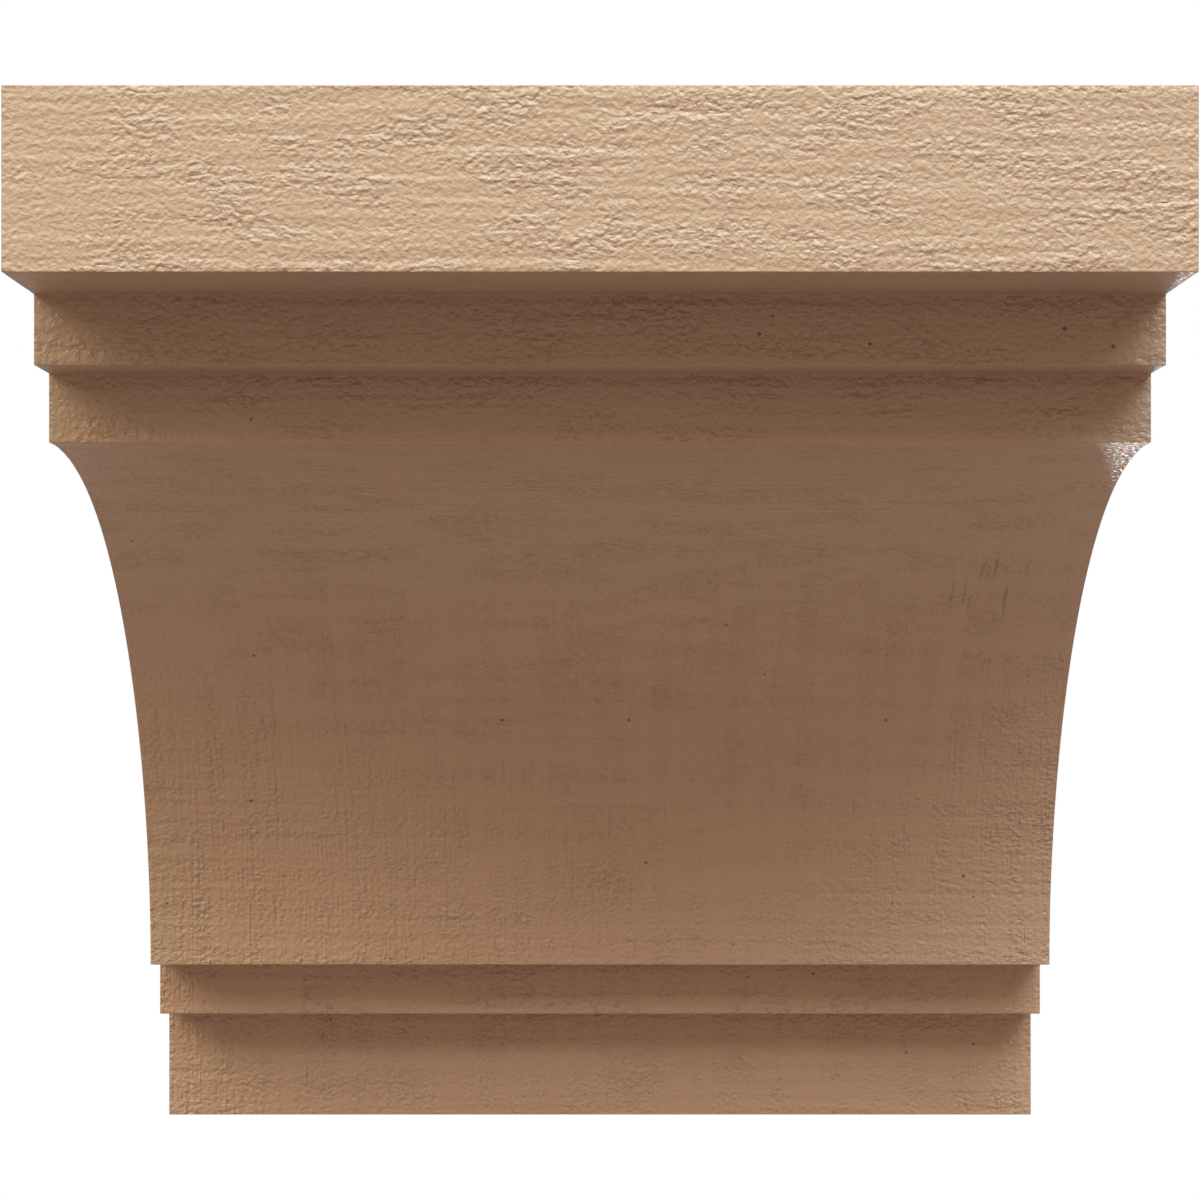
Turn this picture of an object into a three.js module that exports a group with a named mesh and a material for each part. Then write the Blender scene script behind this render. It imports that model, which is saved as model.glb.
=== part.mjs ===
// A wall corbel: a straight stepped bracket with a deep cove, moulded in one piece.
// From the wall outwards and upwards it has a foot block, a band, a concave cove,
// two fillets and a thick cap that carries a beam, a shelf or an eave.
//
// Millimetres, +Z up. The wall is the plane y = 0 and the corbel projects towards -Y.
// The origin is the middle of the back face, where the corbel is fixed to the wall.

import * as THREE from "three";

const INCH = 25.4;

// Driving sizes: how wide it is, how tall each course is, and how far each
// course stands out beyond the one below it
const WIDTH = 12 * INCH;

const FOOT_HEIGHT = 1.5 * INCH;
const FOOT_PROJECTION = 1.875 * INCH;

const BAND_HEIGHT = 0.75 * INCH;
const BAND_OVERHANG = 0.75 * INCH;

const COVE_HEIGHT = 6.375 * INCH;
const COVE_DEPTH = 6.375 * INCH;
const COVE_OVERHANG = 0.75 * INCH;

const LOWER_FILLET_HEIGHT = 0.75 * INCH;
const UPPER_FILLET_HEIGHT = 0.75 * INCH;
const UPPER_FILLET_OVERHANG = 0.75 * INCH;

const CAP_HEIGHT = 1.875 * INCH;
const CAP_OVERHANG = 1.5 * INCH;

// The cove leaves the fillet level and ends upright. How long each end keeps
// its direction, as shares of the cove's own depth and height, sets its fullness.
const COVE_PULL_AT_TOP = 0.6;
const COVE_PULL_AT_FOOT = 0.45;
const COVE_STEPS = 48;

const CORBEL_HEIGHT =
  FOOT_HEIGHT +
  BAND_HEIGHT +
  COVE_HEIGHT +
  LOWER_FILLET_HEIGHT +
  UPPER_FILLET_HEIGHT +
  CAP_HEIGHT;

const TAN_PRIMER = new THREE.MeshStandardMaterial({
  color: new THREE.Color(0.66, 0.5, 0.37),
  roughness: 0.55,
  metalness: 0,
});

// The outline seen from the side, with the shape's x as the distance out from
// the wall and its y as the height. It goes up the wall, out along the top and
// back down the front.
function sideOutline() {
  const outline = new THREE.Shape();
  const bottom = -CORBEL_HEIGHT / 2;
  const top = CORBEL_HEIGHT / 2;

  const bandFront = FOOT_PROJECTION + BAND_OVERHANG;
  const coveFoot = bandFront + COVE_OVERHANG;
  const lowerFilletFront = coveFoot + COVE_DEPTH;
  const upperFilletFront = lowerFilletFront + UPPER_FILLET_OVERHANG;
  const capFront = upperFilletFront + CAP_OVERHANG;

  const bandBottom = bottom + FOOT_HEIGHT;
  const coveBottom = bandBottom + BAND_HEIGHT;
  const coveTop = coveBottom + COVE_HEIGHT;
  const upperFilletBottom = coveTop + LOWER_FILLET_HEIGHT;
  const capBottom = upperFilletBottom + UPPER_FILLET_HEIGHT;

  outline.moveTo(0, bottom);
  outline.lineTo(0, top);

  outline.lineTo(capFront, top);
  outline.lineTo(capFront, capBottom);

  outline.lineTo(upperFilletFront, capBottom);
  outline.lineTo(upperFilletFront, upperFilletBottom);

  outline.lineTo(lowerFilletFront, upperFilletBottom);
  outline.lineTo(lowerFilletFront, coveTop);

  outline.bezierCurveTo(
    lowerFilletFront - COVE_PULL_AT_TOP * COVE_DEPTH,
    coveTop,
    coveFoot,
    coveBottom + COVE_PULL_AT_FOOT * COVE_HEIGHT,
    coveFoot,
    coveBottom,
  );

  outline.lineTo(bandFront, coveBottom);
  outline.lineTo(bandFront, bandBottom);

  outline.lineTo(FOOT_PROJECTION, bandBottom);
  outline.lineTo(FOOT_PROJECTION, bottom);

  outline.closePath();
  return outline;
}

// The outline is drawn out sideways to the full width, then stood up: the
// extrusion runs along X, the distance from the wall along -Y and the height along Z.
function makeCorbel() {
  const geometry = new THREE.ExtrudeGeometry(sideOutline(), {
    depth: WIDTH,
    steps: 1,
    curveSegments: COVE_STEPS,
    bevelEnabled: false,
  });
  geometry.translate(0, 0, -WIDTH / 2);

  const mesh = new THREE.Mesh(geometry, TAN_PRIMER);
  mesh.name = "corbel";
  const alongWidth = new THREE.Vector3(1, 0, 0);
  const outFromWall = new THREE.Vector3(0, -1, 0);
  const up = new THREE.Vector3(0, 0, 1);
  mesh.setRotationFromMatrix(
    new THREE.Matrix4().makeBasis(outFromWall, up, alongWidth.negate()),
  );
  return mesh;
}

const part = new THREE.Group();
part.add(makeCorbel());

export default part;
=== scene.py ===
# %% [markdown]
# A wall corbel
#
# The real object is a bracket that carries a beam or an eave. It is moulded in one piece
# from rigid foam, in a mould taken from rough-sawn timber, and sprayed with a tan primer.
# So there is a single piece to make here, and nearly all of its character is in its skin:
# sawn grain under a raking light. The plan is to build the plain stepped block first, then
# cut its faces into fine cells, then sink the grain into them, and only then paint it.
#
# The engineering model comes first. It is the fixed frame that everything below is built
# around, in metres, with the wall at y = 0 and the corbel coming out towards -Y.

# %% Load the fixed frame
import math
import random

import bmesh
import bpy
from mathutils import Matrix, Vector


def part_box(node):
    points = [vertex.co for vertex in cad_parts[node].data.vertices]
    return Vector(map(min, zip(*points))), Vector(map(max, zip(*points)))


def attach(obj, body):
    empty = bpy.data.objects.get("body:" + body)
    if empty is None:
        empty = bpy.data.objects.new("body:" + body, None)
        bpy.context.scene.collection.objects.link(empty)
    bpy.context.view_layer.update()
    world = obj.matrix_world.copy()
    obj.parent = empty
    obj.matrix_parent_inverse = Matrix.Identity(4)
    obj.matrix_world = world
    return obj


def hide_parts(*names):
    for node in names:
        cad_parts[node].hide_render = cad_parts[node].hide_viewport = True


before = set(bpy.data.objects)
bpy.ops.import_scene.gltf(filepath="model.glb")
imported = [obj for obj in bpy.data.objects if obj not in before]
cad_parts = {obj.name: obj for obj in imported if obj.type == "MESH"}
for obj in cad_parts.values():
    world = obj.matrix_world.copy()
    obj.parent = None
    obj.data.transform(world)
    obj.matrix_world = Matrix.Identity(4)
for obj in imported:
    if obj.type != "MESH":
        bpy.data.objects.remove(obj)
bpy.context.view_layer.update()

low, high = (Vector(corner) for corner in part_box("corbel"))
MM = 0.001
print("corbel from", [round(v, 4) for v in low], "to", [round(v, 4) for v in high])

# %% [markdown]
# The camera
#
# Every level line in the photograph stays level and every upright one stays upright, so the
# camera looks straight along +Y. The corbel is as wide at the foot as at the cap, yet the
# foot looks narrower: that is perspective alone, and how much narrower it looks gives the
# distance and the lens. The courses shrink towards one point, which lies below the middle
# of the frame. A lens shift puts it there, so the camera doesn't have to tip and the
# uprights stay parallel.

# %% Place the camera
PHOTO_SIZE = 1200
FOCAL_PIXELS = 2590
EYE_ROW = 683.8
SENSOR_WIDTH = 36
CAMERA_TO_CAP = 0.659

bpy.ops.object.select_all(action="DESELECT")
bpy.ops.object.camera_add(
    location=(0, low.y - CAMERA_TO_CAP, (low.z + high.z) / 2),
    rotation=(math.pi / 2, 0, 0),
)
camera = bpy.context.object
camera.name = "camera"
camera.data.sensor_width = SENSOR_WIDTH
camera.data.lens = SENSOR_WIDTH * FOCAL_PIXELS / PHOTO_SIZE
camera.data.shift_y = (EYE_ROW - PHOTO_SIZE / 2) / PHOTO_SIZE
bpy.context.scene.camera = camera
print(f"camera {CAMERA_TO_CAP} m in front of the cap, {camera.data.lens:.1f} mm lens")

# %% [markdown]
# The block, built down from the cap
#
# A moulding like this could be drawn as an outline and pulled out sideways, or turned from
# a curve object with a bevel. Building it downwards is closer to how a joiner would stack
# it, and it keeps every face a clean rectangle: start with a cube for the cap, cut its
# underside where the next course begins, and extrude only the part behind the cut. What is
# left in front of the cut becomes the soffit, the shaded underside of the step.
#
# All the small steps are the same size, one sixteenth of the height, so that is the one
# length the courses are written in.

# %% Name the sizes
STEP = (high.z - low.z) / 16

CAP_HEIGHT = 2.5 * STEP
FILLET_HEIGHT = STEP
COVE_HEIGHT = 8.5 * STEP
BAND_HEIGHT = STEP
FOOT_HEIGHT = 2 * STEP

UPPER_FILLET_OUT = 14 * STEP
LOWER_FILLET_OUT = 13 * STEP
COVE_FOOT_OUT = 4.5 * STEP
BAND_OUT = 3.5 * STEP
FOOT_OUT = 2.5 * STEP

CLOSE = 0.002 * MM
print(f"one step is {STEP / MM:.2f} mm")


# %% Helpers that select by place
DOWNWARDS = 0.9
STRAIGHT = 0.999


def pick(piece, kind, test):
    """In edit mode, select just the faces or edges that pass the test."""
    bpy.ops.mesh.select_mode(type=kind)
    bpy.ops.mesh.select_all(action="DESELECT")
    shape = bmesh.from_edit_mesh(piece.data)
    shape.normal_update()
    chosen = [item for item in (shape.faces if kind == "FACE" else shape.edges) if test(item)]
    for item in chosen:
        item.select_set(True)
    bmesh.update_edit_mesh(piece.data)
    return len(chosen)


def middle(edge):
    return (edge.verts[0].co + edge.verts[1].co) / 2


def runs_along(edge, axis):
    """True where an edge lies along the axis numbered 0, 1 or 2."""
    span = edge.verts[1].co - edge.verts[0].co
    return abs(span[axis]) > STRAIGHT * span.length


def is_underside(face, level):
    return face.normal.z < -DOWNWARDS and abs(face.calc_center_median().z - level) < CLOSE


print(f"faces and edges are found by place, to within {CLOSE / MM} mm")

# %% Start with the cap
def start_block(name, corner, other_corner):
    """A cube primitive, brought to its size and place, with its object at the origin."""
    bpy.ops.object.select_all(action="DESELECT")
    bpy.ops.mesh.primitive_cube_add(size=1, location=(corner + other_corner) / 2)
    block = bpy.context.object
    block.name = name
    block.data.name = name
    block.scale = other_corner - corner
    bpy.ops.object.transform_apply(location=True, rotation=True, scale=True)
    return block


cap_bottom = high.z - CAP_HEIGHT
corbel = start_block("sawn_corbel", Vector((low.x, low.y, cap_bottom)), high)
print("cap block", [round(v / MM, 1) for v in corbel.dimensions], "mm")


# %% Grow each straight course below it
def grow_down(height):
    """Pull the selected underside straight down, and leave the new underside selected."""
    bpy.ops.mesh.extrude_region_move(TRANSFORM_OT_translate={"value": (0, 0, -height)})


def step_back(piece, level, out):
    """Cut the underside at a distance out from the wall, and select what lies behind."""
    pick(piece, "FACE", lambda face: is_underside(face, level))
    bpy.ops.mesh.bisect(plane_co=(0, -out, 0), plane_no=(0, 1, 0))
    pick(
        piece,
        "FACE",
        lambda face: is_underside(face, level) and face.calc_center_median().y > -out,
    )


bpy.ops.object.mode_set(mode="EDIT")
level = cap_bottom
for out in (UPPER_FILLET_OUT, LOWER_FILLET_OUT):
    step_back(corbel, level, out)
    grow_down(FILLET_HEIGHT)
    level -= FILLET_HEIGHT
cove_top = level
print(f"the cove starts {(high.z - cove_top) / MM:.1f} mm below the top")

# %% [markdown]
# The cove
#
# The cove leaves the fillet level and reaches its foot upright, so a plain quarter circle
# almost fits. The photograph shows it a little fuller than that near the top. A cubic curve
# with two handles of different length does it, and is the same curve as in the engineering
# model. Each row of the cove is one short extrusion, whose front edge is then pushed back
# to the next point of the curve.

# %% Grow the cove, one row at a time
COVE_ROWS = 96
COVE_PULL_AT_TOP = 0.6
COVE_PULL_AT_FOOT = 0.45


def cove_point(share):
    """How far out and how high the cove is, from 0 at the fillet to 1 at its foot."""
    depth = LOWER_FILLET_OUT - COVE_FOOT_OUT
    near = 3 * (1 - share) ** 2 * share
    far = 3 * (1 - share) * share**2
    end = share**3
    out = LOWER_FILLET_OUT - depth * (near * COVE_PULL_AT_TOP + far + end)
    drop = COVE_HEIGHT * (far * (1 - COVE_PULL_AT_FOOT) + end)
    return out, cove_top - drop


out_before, level_before = cove_point(0)
for row in range(1, COVE_ROWS + 1):
    out, level = cove_point(row / COVE_ROWS)
    grow_down(level_before - level)
    front = Vector((0, -out_before, level))
    pick(corbel, "EDGE", lambda edge: (middle(edge) - front).length < CLOSE)
    bpy.ops.transform.translate(value=(0, out_before - out, 0))
    pick(corbel, "FACE", lambda face: is_underside(face, level))
    out_before, level_before = out, level
print(f"cove {COVE_ROWS} rows, {(cove_top - level) / MM:.1f} mm high")

# %% Finish with the band and the foot
for out, height in ((BAND_OUT, BAND_HEIGHT), (FOOT_OUT, FOOT_HEIGHT)):
    step_back(corbel, level, out)
    grow_down(height)
    level -= height
print(f"the foot ends at {level:.4f} m, and the frame's lowest corner is at {low.z:.4f} m")

# %% [markdown]
# Flat sides and soft arrises
#
# Growing the block in courses leaves seams across its flat sides and back. They are on the
# same plane, so they can be dissolved into one face each. Then every sharp edge gets a tiny
# bevel. No moulded arris is a mathematical line: it is a fraction of a millimetre round,
# and that is what catches the light.

# %% Merge the sides and bevel the arrises
ARRIS = 0.25 * MM
ARRIS_SEGMENTS = 2
SHARP = math.radians(30)
SQUARE = 0.99


def is_side(face):
    return abs(face.normal.x) > SQUARE


def is_back(face):
    return face.normal.y > SQUARE


pick(corbel, "FACE", is_side)
bpy.ops.mesh.dissolve_faces(use_verts=True)
pick(corbel, "FACE", is_back)
bpy.ops.mesh.dissolve_faces(use_verts=True)

bpy.ops.mesh.select_mode(type="EDGE")
bpy.ops.mesh.select_all(action="DESELECT")
bpy.ops.mesh.edges_select_sharp(sharpness=SHARP)
bpy.ops.mesh.bevel(offset=ARRIS, segments=ARRIS_SEGMENTS, affect="EDGES")
print(f"{len(bmesh.from_edit_mesh(corbel.data).faces)} faces, arrises {ARRIS / MM} mm round")

# %% [markdown]
# Cells for the grain to move
#
# Relief can only be as fine as the mesh that carries it. The whole piece has to stay under
# 200,000 triangles, so they go where the light rakes and the grain shows. The upright faces
# get rows a millimetre high or less, the cove a little coarser ones, and the flat top,
# back and sides the coarsest. Across the width, all the cuts are a whole part of one step,
# so that they line up from course to course.

# %% Cut the courses into rows
CAP_ROW = 0.6 * MM
FILLET_ROW = 0.7 * MM
FOOT_ROW = 1.0 * MM
SOFFIT_ROW = 3.2 * MM
PAST_ARRIS = 1.5 * ARRIS


def cut_edges(piece, test, pieces):
    """Cut the edges that pass the test into equal pieces, with the faces between them."""
    pick(piece, "EDGE", test)
    bpy.ops.mesh.subdivide(number_cuts=pieces - 1)


def cut_upright_course(top, height, out, row):
    """Rows across a course's front, which stands at a distance out from the wall."""

    def on_course(edge):
        place = middle(edge)
        near_front = abs(place.y + out) < PAST_ARRIS
        inside = abs(place.z - (top - height / 2)) < ARRIS
        return runs_along(edge, 2) and near_front and inside and edge.calc_length() > height / 2

    cut_edges(corbel, on_course, round(height / row))


def cut_soffit(level, out, out_below, row):
    """Rows across a soffit, from the front of its course back to the course below."""

    def on_soffit(edge):
        place = middle(edge)
        near_level = abs(place.z - level) < PAST_ARRIS
        inside = abs(place.y + (out + out_below) / 2) < ARRIS
        long_enough = edge.calc_length() > (out - out_below) / 2
        return runs_along(edge, 1) and near_level and inside and long_enough

    cut_edges(corbel, on_soffit, round((out - out_below) / row))


CAP_OUT = high.y - low.y
upper_fillet_top = high.z - CAP_HEIGHT
lower_fillet_top = upper_fillet_top - FILLET_HEIGHT
band_top = cove_top - COVE_HEIGHT
foot_top = band_top - BAND_HEIGHT

cut_upright_course(high.z, CAP_HEIGHT, CAP_OUT, CAP_ROW)
cut_upright_course(upper_fillet_top, FILLET_HEIGHT, UPPER_FILLET_OUT, FILLET_ROW)
cut_upright_course(lower_fillet_top, FILLET_HEIGHT, LOWER_FILLET_OUT, FILLET_ROW)
cut_upright_course(band_top, BAND_HEIGHT, BAND_OUT, FOOT_ROW)
cut_upright_course(foot_top, FOOT_HEIGHT, FOOT_OUT, FOOT_ROW)

cut_soffit(upper_fillet_top, CAP_OUT, UPPER_FILLET_OUT, SOFFIT_ROW)
cut_soffit(lower_fillet_top, UPPER_FILLET_OUT, LOWER_FILLET_OUT, SOFFIT_ROW)
cut_soffit(band_top, COVE_FOOT_OUT, BAND_OUT, SOFFIT_ROW)
cut_soffit(foot_top, BAND_OUT, FOOT_OUT, SOFFIT_ROW)
print(f"{len(bmesh.from_edit_mesh(corbel.data).faces)} faces after the rows")

# %% Cut the sides, the top, the underside and the back
SIDE_CELL = STEP / 4
COARSE_CELL = STEP / 2
Y_AXIS = Vector((0, 1, 0))
Z_AXIS = Vector((0, 0, 1))


def is_level(face):
    """The top face and the foot's underside."""
    height = face.calc_center_median().z
    at_end = abs(height - high.z) < CLOSE or abs(height - low.z) < CLOSE
    return abs(face.normal.z) > SQUARE and at_end


def slice_faces(piece, test, axis, start, end, cell):
    """Cut the faces that pass the test with planes square to an axis, one cell apart."""
    cuts = round((end - start) / cell) - 1
    for cut in range(1, cuts + 1):
        pick(piece, "FACE", test)
        place = axis * (start + cut * cell)
        bpy.ops.mesh.bisect(plane_co=place, plane_no=axis, threshold=ARRIS)


slice_faces(corbel, is_side, Y_AXIS, low.y, high.y, SIDE_CELL)
slice_faces(corbel, is_side, Z_AXIS, low.z, high.z, SIDE_CELL)
slice_faces(corbel, is_level, Y_AXIS, low.y, high.y, COARSE_CELL)
slice_faces(corbel, is_back, Z_AXIS, low.z, high.z, COARSE_CELL)
print(f"{len(bmesh.from_edit_mesh(corbel.data).faces)} faces after the sides")

# %% Cut the width into columns
X_AXIS = Vector((1, 0, 0))
COLUMNS_PER_CELL = 8


def is_front(face):
    """Every face that looks out into the room from between the two sides."""
    on_back = face.calc_center_median().y > high.y - ARRIS
    return abs(face.normal.x) < 0.5 and not is_level(face) and not on_back


def is_across_front(edge):
    return runs_along(edge, 0) and any(is_front(face) for face in edge.link_faces)


columns = round((high.x - low.x) / COARSE_CELL)
for column in range(1, columns):
    bpy.ops.mesh.select_all(action="SELECT")
    place = X_AXIS * (low.x + column * COARSE_CELL)
    bpy.ops.mesh.bisect(plane_co=place, plane_no=X_AXIS)
cut_edges(corbel, is_across_front, COLUMNS_PER_CELL)
print(f"{len(bmesh.from_edit_mesh(corbel.data).faces)} faces after the columns")

# %% [markdown]
# Pinholes
#
# Foam that is poured into a mould leaves a few burst bubbles in its skin: dark holes about
# a millimetre wide, scattered below the cap. Each is a corner of the mesh cut back to a
# small round face, which is then inset and pushed in. Which corners are taken is left to
# chance, with a fixed seed, so that the same holes come out each time.
#
# They could be dark dots in the paint instead, but those would have no lit far edge, and
# would be missing from the mesh when the piece is used without its paint.

# %% Prick the pinholes
SMALL_PINHOLE = 0.48 * MM
LARGE_PINHOLE = 0.64 * MM
PINHOLES_OF_EACH_SIZE = 14
ROUND_PROFILE = 0.12
PIT_DEPTH_TO_RADIUS = 1.3
PIT_SLOPE_TO_RADIUS = 0.5
NEARLY_LEVEL = 0.98
FACES_ROOM = 0.5
MARGIN = 4 * MM
chance = random.Random(11)


def takes_pinhole(vert):
    """A corner between four nearly level faces of the front, clear of the arrises."""
    faces = vert.link_faces
    below_cap = vert.co.z <= upper_fillet_top - MARGIN
    off_sides = abs(vert.co.x) <= high.x - MARGIN
    if len(faces) != 4 or not below_cap or not off_sides:
        return False
    flat = all(face.normal.dot(faces[0].normal) > NEARLY_LEVEL for face in faces)
    faces_room = faces[0].normal.y < -FACES_ROOM
    return flat and faces_room and all(is_front(face) for face in faces)


def prick(piece, radius, count):
    """Turn a few corners, taken by chance, into small round pits."""
    bpy.ops.mesh.select_mode(type="VERT")
    bpy.ops.mesh.select_all(action="DESELECT")
    shape = bmesh.from_edit_mesh(piece.data)
    shape.normal_update()
    places = [vert for vert in shape.verts if takes_pinhole(vert)]
    for vert in chance.sample(places, count):
        vert.select_set(True)
    bmesh.update_edit_mesh(piece.data)
    bpy.ops.mesh.bevel(offset=radius, segments=2, affect="VERTICES", profile=ROUND_PROFILE)
    bpy.ops.mesh.select_mode(type="FACE")
    bpy.ops.mesh.inset(
        thickness=PIT_SLOPE_TO_RADIUS * radius, depth=-PIT_DEPTH_TO_RADIUS * radius
    )


for radius in (SMALL_PINHOLE, LARGE_PINHOLE):
    prick(corbel, radius, PINHOLES_OF_EACH_SIZE)
    print(f"{PINHOLES_OF_EACH_SIZE} pinholes, cut back {radius / MM} mm from their middle")

# %% Split the many-sided faces
bpy.ops.mesh.select_all(action="DESELECT")
bpy.ops.mesh.select_face_by_sides(number=4, type="GREATER", extend=False)
bpy.ops.mesh.quads_convert_to_tris(ngon_method="BEAUTY")
bpy.ops.object.mode_set(mode="OBJECT")


def triangles(piece):
    return sum(len(face.vertices) - 2 for face in piece.data.polygons)


print(f"{triangles(corbel)} triangles")

# %% [markdown]
# Sums on sockets
#
# Both the relief and the paint are worked out by nodes. Written out one by one, the nodes
# hide the formula they stand for. This small class wraps a socket so that Python's own
# signs add the Math nodes, and one method makes every other kind of node.

# %% Wrap a socket
class Socket:
    """A node's output, ready to be used in a Python expression."""

    def __init__(self, tree, output):
        self.tree = tree
        self.output = output

    @classmethod
    def node(cls, tree, kind, settings=None, inputs=None, output=None):
        """Make a node: its settings first, then a value or a link for each input."""
        made = tree.nodes.new(kind)
        for name, setting in (settings or {}).items():
            setattr(made, name, setting)
        for key, value in (inputs or {}).items():
            if isinstance(key, int):
                target = made.inputs[key]
            else:
                target = next(s for s in made.inputs if s.name == key and s.enabled)
            if isinstance(value, cls):
                tree.links.new(value.output, target)
            else:
                target.default_value = value
        ready = [s for s in made.outputs if s.enabled and output in (None, s.name)]
        return cls(tree, ready[0]) if ready else made

    def math(self, operation, *values):
        inputs = dict(enumerate((self, *values)))
        return self.node(self.tree, "ShaderNodeMath", {"operation": operation}, inputs)

    def vector(self, operation, other, key=1):
        inputs = {0: self, key: other}
        return self.node(self.tree, "ShaderNodeVectorMath", {"operation": operation}, inputs)

    def __add__(self, other):
        return self.math("ADD", other)

    __radd__ = __add__

    def __mul__(self, other):
        return self.math("MULTIPLY", other)

    __rmul__ = __mul__

    def __sub__(self, other):
        return self.math("SUBTRACT", other)

    def __rsub__(self, other):
        return self * -1 + other

    def __abs__(self):
        return self.math("ABSOLUTE")

    def ramp(self, start, end, low=0.0, high=1.0):
        """Ease from low to high as the value goes from start to end."""
        inputs = {"Value": self, "From Min": start, "From Max": end, "To Min": low, "To Max": high}
        settings = {"interpolation_type": "SMOOTHSTEP"}
        return self.node(self.tree, "ShaderNodeMapRange", settings, inputs)

    def fade(self, start, end):
        """Ease from 1 down to 0 as the value goes from start to end."""
        return self.ramp(start, end, 1.0, 0.0)


print("sums on sockets with + - * and abs now add Math nodes")

# %% The patterns of sawn timber
def split(place):
    """The three parts of a vector socket."""
    tree = place.tree
    node = Socket.node(tree, "ShaderNodeSeparateXYZ", None, {0: place}).output.node
    return [Socket(tree, part) for part in node.outputs]


def join(tree, x, y, z):
    return Socket.node(tree, "ShaderNodeCombineXYZ", None, {0: x, 1: y, 2: z})


def along_grain(place, side):
    """Turn the pattern a quarter on the sides, so that its first axis is the grain's."""
    x, y, z = split(place)
    turn = (y - x) * side
    return join(place.tree, x + turn, y - turn, z)


def lumps(place, cell, detail=0.0):
    """Soft random lumps from 0 to 1. A cell is a lump's size along each axis, in metres."""
    scaled = place.vector("MULTIPLY", [1 / size for size in cell])
    inputs = {"Vector": scaled, "Scale": 1.0, "Detail": detail}
    return Socket.node(place.tree, "ShaderNodeTexNoise", None, inputs)


PATCH_CELL = (26 * MM, 9 * MM, 9 * MM)
PATCH_RIM = (0.34, 0.64)


def patches(grain):
    """Where the saw tore the grain up more, and where it left it smooth."""
    return lumps(grain, PATCH_CELL, 1.0).ramp(*PATCH_RIM)


def lines(place, cell, width):
    """Thin wandering lines: 1 along the middle level of some lumps, and 0 beside it."""
    return abs(lumps(place, cell) - 0.5).fade(0.0, width)


print("torn patches about", [round(size / MM) for size in PATCH_CELL], "mm")

# %% [markdown]
# The relief in the mesh
#
# Long shallow hollows run with the grain, deeper where the saw tore it. Everything goes
# inwards and most of the surface stays where it is, so the arrises stay straight and the
# piece never grows past its engineering size. Only the front is sunk, where the cells are
# fine. On the coarse cells of the sides, the top, the underside and the back, a hollow
# would end in a notch at the arris, so those faces stay flat.
#
# This could be sculpted by hand. A Geometry Nodes modifier does it by rule instead, and can
# be applied like any other. It also writes down, for the paint, which way the grain runs.
# Last, the shading is made smooth up to the arrises, and a Weighted Normal modifier lets
# the large faces decide it, so that they look flat right up to their bevels.

# %% Sink the relief
FIBRE_CELL = (22 * MM, 2.6 * MM, 2.6 * MM)
FIBRE_DEPTH = 0.15 * MM
FIBRE_RIM = (0.2, 0.6)
SQUARE_ON = (0.75, 0.9)
TOWARDS_WALL = (0.3, 0.6)
SMOOTH_UP_TO = math.radians(50)


def sawn_relief():
    """A node group that sinks the sawn grain into a mesh."""
    tree = bpy.data.node_groups.new("sawn relief", "GeometryNodeTree")
    tree.interface.new_socket("Geometry", in_out="INPUT", socket_type="NodeSocketGeometry")
    tree.interface.new_socket("Geometry", in_out="OUTPUT", socket_type="NodeSocketGeometry")
    mesh_in = Socket.node(tree, "NodeGroupInput")
    place = Socket.node(tree, "GeometryNodeInputPosition")
    normal = Socket.node(tree, "GeometryNodeInputNormal")
    normal_x, normal_y, normal_z = split(normal)
    side = abs(normal_x).ramp(*SQUARE_ON)
    off_top = normal_z.fade(*SQUARE_ON)
    off_wall = normal_y.fade(*TOWARDS_WALL)
    near_bottom = split(place)[2].fade(low.z + ARRIS, low.z + 2 * ARRIS)
    underside = near_bottom * (normal_z * -1).ramp(*SQUARE_ON)
    front = (1 - side) * off_top * off_wall * (1 - underside)

    grain = along_grain(place, side)
    hollows = lumps(grain, FIBRE_CELL, 2.0).fade(*FIBRE_RIM)
    depth = hollows * patches(grain) * front * FIBRE_DEPTH
    offset = normal.vector("SCALE", depth * -1, "Scale")
    moved = Socket.node(
        tree, "GeometryNodeSetPosition", None, {"Geometry": mesh_in, "Offset": offset}
    )
    marked = Socket.node(
        tree,
        "GeometryNodeStoreNamedAttribute",
        {"data_type": "FLOAT", "domain": "POINT"},
        {"Geometry": moved, "Name": "side", "Value": side},
    )
    Socket.node(tree, "NodeGroupOutput", None, {"Geometry": marked})
    return tree


bpy.ops.object.select_all(action="DESELECT")
corbel.select_set(True)
bpy.context.view_layer.objects.active = corbel
bpy.ops.object.modifier_add(type="NODES")
corbel.modifiers[-1].node_group = sawn_relief()
bpy.ops.object.modifier_apply(modifier=corbel.modifiers[-1].name)
print("attributes", [a.name for a in corbel.data.attributes])

# %% Smooth the shading up to the arrises
bpy.ops.object.shade_smooth_by_angle(angle=SMOOTH_UP_TO)
bpy.ops.object.modifier_add(type="WEIGHTED_NORMAL")
corbel.modifiers[-1].keep_sharp = True
bpy.ops.object.modifier_apply(modifier=corbel.modifiers[-1].name)
sharp_edges = sum(edge.use_edge_sharp for edge in corbel.data.edges)
print(f"{sharp_edges} edges stay sharp")

# %% [markdown]
# The paint
#
# One coat of tan primer covers everything, so the colour hardly changes. What changes is
# how the light lies on it. The finest grain is too fine for the mesh, so it is a bump in
# the material: a height that only bends the light. It is a sum of simple patterns, each one
# soft noise, stretched to the size and direction of something on the real skin.
#
# Pebbles are the crumbly skin itself. Streaks run long and level with the grain, and
# creases are where it has torn. On the cove come three more that cross each other into its
# woven look: uprights and saw marks across the grain, and shakes, the rough bands along it.
# The patterns are stretched far along every direction but their own, so that they stay
# straight where the cove curves.
#
# A picture of timber could be wrapped round the piece instead. It would show its joins on
# the steps, and it couldn't be told to grow calmer down the cove.

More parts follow.
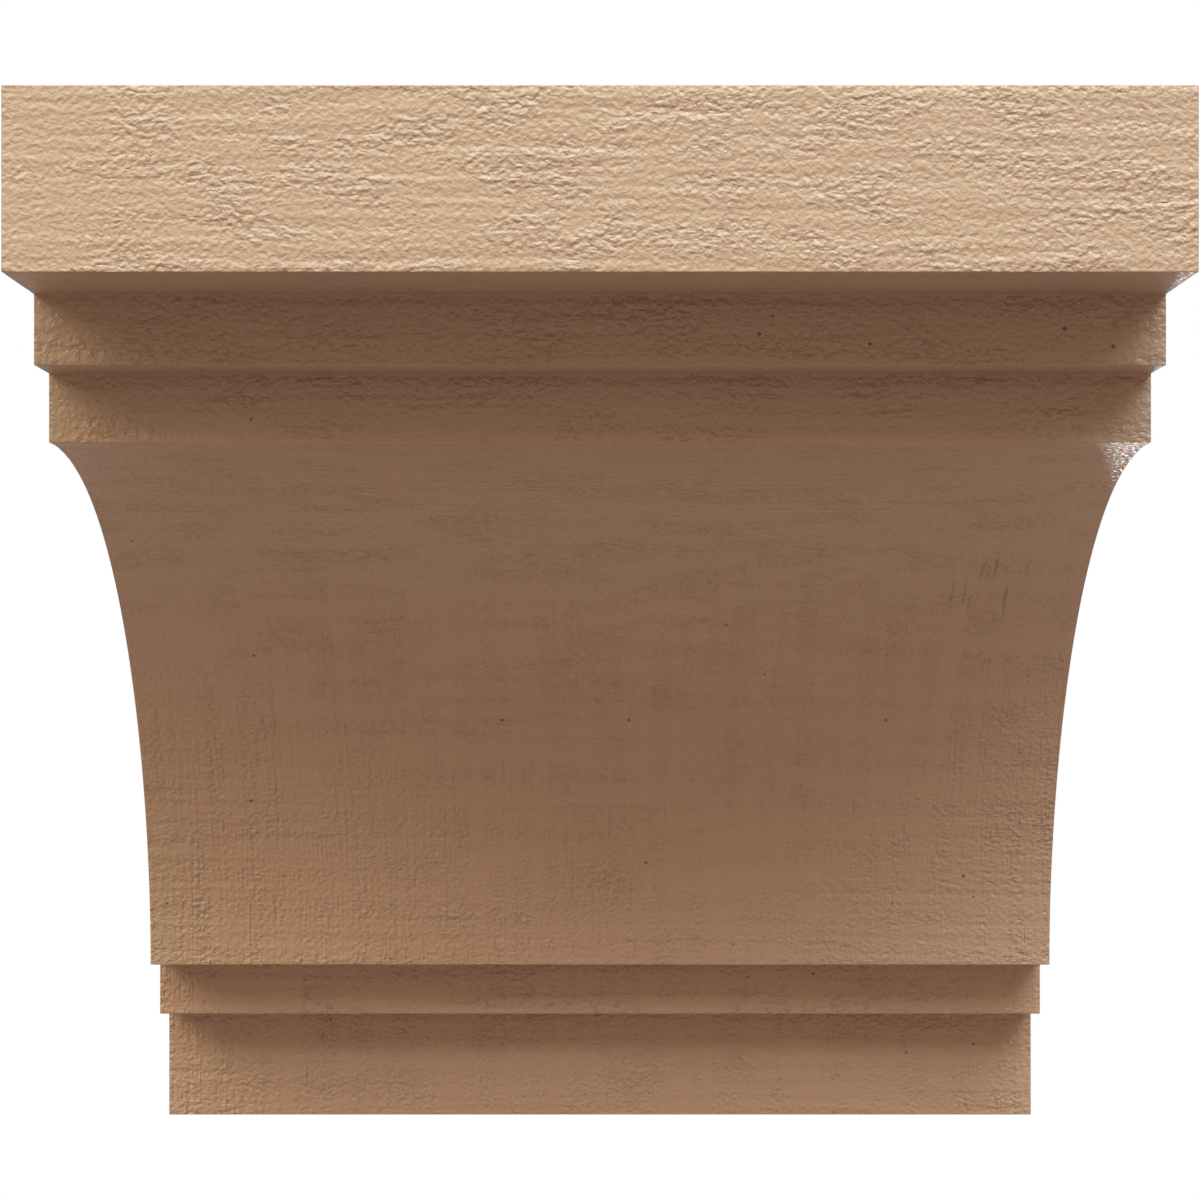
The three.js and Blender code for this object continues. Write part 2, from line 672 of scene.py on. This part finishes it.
# %% Gather the patterns
PEBBLE_CELL = (1.6 * MM, 1.35 * MM, 1.35 * MM)
UPRIGHT_CELL = (1.3 * MM, 30 * MM, 30 * MM)
STRIP_CELL = (6 * MM, 90 * MM, 90 * MM)
SHAKE_CELL = (180 * MM, 30 * MM, 11 * MM)
SHAKE_WIDTH = 0.12
CREASE_CELL = (5.5 * MM, 2.2 * MM, 2.2 * MM)
CREASED_RIM = (0.5, 1.0)
FEWER_ON_COVE = 0.6
SAW_MARK_WIDTH = 0.035
SCRATCHED = (0.125, -0.15, 0.028)
SCRATCHED_RIM = (11.4 * MM, 19 * MM)
SCRATCH_RIM = (0.3, 0.4)


class Skin:
    """The patterns that the bump and the colour are both made from."""

    def __init__(self, tree):
        self.place = Socket.node(tree, "ShaderNodeTexCoord", output="Object")
        self.level = split(self.place)[2]
        marked = {"attribute_name": "side"}
        self.side = Socket.node(tree, "ShaderNodeAttribute", marked, output="Fac")
        self.grain = along_grain(self.place, self.side)
        self.on_cove = self.level.fade(0.0, cove_top)
        self.torn = patches(self.grain)
        self.pebbles = lumps(self.grain, PEBBLE_CELL, 1.5)
        self.uprights = lumps(self.grain, UPRIGHT_CELL, 1.0)
        self.strips = lumps(self.grain, STRIP_CELL)
        self.shakes = lines(self.grain, SHAKE_CELL, SHAKE_WIDTH) * self.on_cove
        self.creases = abs(lumps(self.grain, CREASE_CELL, 1.0) - 0.5)
        self.creased = self.torn.ramp(*CREASED_RIM) * (1 - self.on_cove * FEWER_ON_COVE)
        saw_lines = abs(self.strips - 0.5).fade(0.0, SAW_MARK_WIDTH)
        self.saw_marks = saw_lines * self.torn * self.on_cove
        near_spot = self.place.vector("DISTANCE", SCRATCHED).fade(*SCRATCHED_RIM)
        self.scratches = self.uprights.fade(*SCRATCH_RIM) * near_spot


print(f"the scratched spot is {2 * SCRATCHED_RIM[1] / MM:.0f} mm across")

# %% Add them up to a height
PEBBLE_DEPTH = 0.73 * MM
UPRIGHT_DEPTH = 0.4 * MM
STREAK_CELL = (60 * MM, 2.6 * MM, 2.6 * MM)
STREAK_DEPTH = 0.36 * MM
CREASE_DEPTH = 0.88 * MM
SAW_MARK_DEPTH = 0.09 * MM
SCRATCH_DEPTH = 0.22 * MM

PLAIN_ROUGH = 0.7
TORN_ROUGH = 0.4
SHAKE_ROUGH = 0.5
COVE_ROUGH = 0.35
CALM_STRIP = (0.4, 0.6)
CALMING = 0.42


def skin_height(skin):
    """How high the fine grain stands at each place, in metres."""
    rough = skin.torn * TORN_ROUGH + PLAIN_ROUGH + skin.shakes * SHAKE_ROUGH
    rough = rough + skin.on_cove * COVE_ROUGH
    calm = skin.strips.ramp(*CALM_STRIP) * skin.on_cove * CALMING
    pebbles = (skin.pebbles - 0.5) * PEBBLE_DEPTH
    uprights = (skin.uprights - 0.5) * UPRIGHT_DEPTH * skin.on_cove
    streaks = lumps(skin.grain, STREAK_CELL) * STREAK_DEPTH
    creases = skin.creases * skin.creased * CREASE_DEPTH
    cuts = skin.saw_marks * SAW_MARK_DEPTH + skin.scratches * SCRATCH_DEPTH
    return (pebbles + uprights) * rough * (1 - calm) + streaks + creases - cuts


print(f"at most: pebbles {PEBBLE_DEPTH / MM} mm high, creases {CREASE_DEPTH / 2 / MM} mm deep")

# %% [markdown]
# The colour of the primer
#
# The coat is one tan, and its darker places are painted shade: the cracks, most of all just
# under the band, the scratches, and the hollows between the pebbles. The recess under the cap
# is painted a little darker and less red, as shade. The sheen changes with the pebbles:
# their tops are duller than the hollows between them. One flat tan would do from far away.
# Close up, these few shifts are what makes it look like paint over a rough skin and not like
# coloured plastic.

# %% Mix the primer
TAN = (0.48, 0.318, 0.203, 1.0)
# Painted shade: the colour that the pits, scratches and cracks are darkened towards.
SHADED_TAN = (0.3, 0.17, 0.1, 1.0)
# Painted shade for the recess under the cap: a little darker and less red than the open tan.
RECESS_SHADE_TAN = (0.427, 0.296, 0.195, 1.0)
PIT_RIM = (0.35, 0.5)
PIT_SHADE = 0.16
SHAKE_CORE = (0.7, 1.0)
PITS_IN_SAW_MARKS = 0.5
SCRATCH_SHADE = 0.4
CRACK_WIDTH = 0.05
CRACK_SHADE = 0.5
UNDER_BAND = 12 * MM
RECESS_FADE = 4 * MM
CAP_FADE = 0.2 * MM


def mix_colour(tree, share, first, second):
    inputs = {"Factor": share, "A": first, "B": second}
    return Socket.node(tree, "ShaderNodeMix", {"data_type": "RGBA"}, inputs)


def painted_shade(skin):
    """How much painted shade the coat takes: 0 on the open skin, up to 1 in the deepest cracks."""
    # Painted shade in the hollows between the pebbles, along the shakes and the saw marks.
    pitted = skin.shakes.ramp(*SHAKE_CORE) + skin.saw_marks * PITS_IN_SAW_MARKS
    pits = skin.pebbles.fade(*PIT_RIM) * pitted
    # Painted shade in the cracks, strongest on the top of the foot just under the band.
    cracks = skin.creases.fade(0.0, CRACK_WIDTH) * skin.creased
    up_to_band = skin.level.ramp(foot_top - UNDER_BAND, foot_top)
    below_cove = skin.level.fade(foot_top, band_top)
    crack_shade = up_to_band * below_cove + CRACK_SHADE
    # Painted shade in the scratches, added to that of the pits and the cracks.
    return pits * PIT_SHADE + skin.scratches * SCRATCH_SHADE + cracks * crack_shade


def primer_colour(tree, skin):
    """Tan with painted shade: in the recess under the cap, and in pits, scratches and cracks."""
    # Painted shade: the recess under the cap is painted a little darker and less red.
    above_cove = skin.level.ramp(cove_top - MM, cove_top + RECESS_FADE)
    below_cap = skin.level.fade(upper_fillet_top, upper_fillet_top + CAP_FADE)
    recess = above_cove * below_cap * (1 - skin.side)
    coat_with_recess_shade = mix_colour(tree, recess, TAN, RECESS_SHADE_TAN)
    # Then the painted shade of the pits, scratches and cracks goes over that.
    return mix_colour(tree, painted_shade(skin), coat_with_recess_shade, SHADED_TAN)


print("tan", TAN[:3], "and in the cracks", SHADED_TAN[:3])


# %% Spray the piece
ROUGHNESS = 0.38
PEBBLE_SPAN = (0.3, 0.7)
SHINIER_AND_DULLER = (-0.06, 0.1)


def tan_primer():
    """Low-sheen tan primer over fine sawn grain."""
    material = bpy.data.materials.new("tan primer")
    material.use_nodes = True
    tree = material.node_tree
    shader = tree.nodes["Principled BSDF"]
    skin = Skin(tree)
    relief = {"Strength": 1.0, "Distance": 1.0, "Height": skin_height(skin)}
    bump = Socket.node(tree, "ShaderNodeBump", None, relief)
    roughness = skin.pebbles.ramp(*PEBBLE_SPAN, *SHINIER_AND_DULLER) + ROUGHNESS
    tree.links.new(bump.output, shader.inputs["Normal"])
    tree.links.new(primer_colour(tree, skin).output, shader.inputs["Base Color"])
    tree.links.new(roughness.output, shader.inputs["Roughness"])
    return material


corbel.data.materials.clear()
corbel.data.materials.append(tan_primer())
print("materials", [m.name for m in corbel.data.materials])

# %% [markdown]
# The stage
#
# The corbel hangs in front of plain white, with nothing near it. The floor is a pale disc
# far below, out of the camera's view, where it only sends a little light back up. Seen from
# above, a matt floor this far from the lights would look dark. So to the camera it glows
# with one even pale colour, and for all other light it stays an ordinary matt floor.

# %% Lay the floor
FLOOR_DROP = 2.4
FLOOR_RADIUS = 6
FLOOR_COLOUR = (0.7, 0.68, 0.66, 1.0)
FLOOR_ROUGHNESS = 0.8
SEEN_FLOOR_COLOUR = (0.8, 0.79, 0.78, 1.0)


def pale_floor():
    """A matt floor that looks evenly pale, however little of the light falls on it."""
    material = bpy.data.materials.new("pale floor")
    material.use_nodes = True
    tree = material.node_tree
    matt = tree.nodes["Principled BSDF"]
    matt.inputs["Base Color"].default_value = FLOOR_COLOUR
    matt.inputs["Roughness"].default_value = FLOOR_ROUGHNESS
    even = Socket.node(tree, "ShaderNodeEmission", None, {"Color": SEEN_FLOOR_COLOUR})
    seen = Socket.node(tree, "ShaderNodeLightPath", output="Is Camera Ray")
    shaders = {0: seen, 1: Socket(tree, matt.outputs[0]), 2: even}
    both = Socket.node(tree, "ShaderNodeMixShader", None, shaders)
    tree.links.new(both.output, tree.nodes["Material Output"].inputs["Surface"])
    return material


bpy.ops.object.select_all(action="DESELECT")
bpy.ops.mesh.primitive_circle_add(
    vertices=96, radius=FLOOR_RADIUS, fill_type="NGON", location=(0, 0, low.z - FLOOR_DROP)
)
floor = bpy.context.object
floor.name = "floor"
floor.data.materials.append(pale_floor())
print(f"floor {FLOOR_DROP} m below the foot")

# %% [markdown]
# The light
#
# The shadow edges on the ends of the fillets tell where the lights stand. A broad one hangs
# high on the left, at about 45 degrees. One on the right is steeper and cooler, and a third
# hangs overhead. All three clear the cap's front and graze its grain from above, and the cap
# blocks them over most of what lies beneath it. There, only the room's own warm light is
# left, which is what makes the courses look brown. A fourth, a small one, stands low behind
# the piece and a little to the right. All it gives is the glint in the cove's top right
# corner.
#
# Each light's beam is narrow, so that it falls on the corbel and little of it reaches the
# floor. The room is warm to the piece, and plain white to the camera.

# %% Set the lights
AIM = Vector((0, -0.2, 0.02))
BEAM = math.radians(70)
LIGHT_DISTANCE = 2.6


def soft_light(name, direction, size, power, colour):
    """A round soft light, seen from the corbel in a given direction."""
    towards = Vector(direction).normalized()
    bpy.ops.object.light_add(
        type="AREA",
        location=AIM + towards * LIGHT_DISTANCE,
        rotation=towards.to_track_quat("Z", "Y").to_euler(),
    )
    light = bpy.context.object
    light.name = name
    light.data.shape = "DISK"
    light.data.size = size
    light.data.spread = BEAM
    light.data.energy = power
    light.data.color = colour
    light.visible_camera = False
    return light


soft_light(
    "left light", direction=(-1.0, -0.62, 1.0), size=2.18, power=12.0, colour=(1.0, 0.934, 0.693)
)
soft_light(
    "right light", direction=(0.5, -0.75, 1.0), size=1.95, power=10.7, colour=(0.851, 0.939, 1.0)
)
soft_light(
    "overhead light", direction=(0, -0.45, 1.0), size=1.82, power=10.3, colour=(0.308, 0.739, 1.0)
)
soft_light(
    "rim light", direction=(0.11, 0.8, -0.26), size=0.42, power=2.4, colour=(0.95, 0.98, 1.0)
)
lights = [item for item in bpy.context.scene.objects if item.type == "LIGHT"]
print(len(lights), "lights of", [round(light.data.energy, 1) for light in lights], "W")

# %% Fill the room
WHITE = (1.0, 1.0, 1.0, 1.0)
ROOM_COLOUR = (0.521, 0.399, 0.345, 1.0)

world = bpy.data.worlds.new("room")
bpy.context.scene.world = world
world.use_nodes = True
room = world.node_tree
room.nodes.clear()
seen = Socket.node(room, "ShaderNodeBackground", None, {"Color": WHITE, "Strength": 1.0})
felt = Socket.node(room, "ShaderNodeBackground", None, {"Color": ROOM_COLOUR, "Strength": 1.0})
straight = Socket.node(room, "ShaderNodeLightPath", output="Is Camera Ray")
both = Socket.node(room, "ShaderNodeMixShader", None, {0: straight, 1: felt, 2: seen})
Socket.node(room, "ShaderNodeOutputWorld", None, {"Surface": both})

bpy.context.scene.view_settings.view_transform = "Standard"
print("room colour", ROOM_COLOUR[:3])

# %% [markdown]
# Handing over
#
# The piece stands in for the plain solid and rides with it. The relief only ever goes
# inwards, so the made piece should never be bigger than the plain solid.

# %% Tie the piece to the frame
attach(corbel, "root")
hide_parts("corbel")
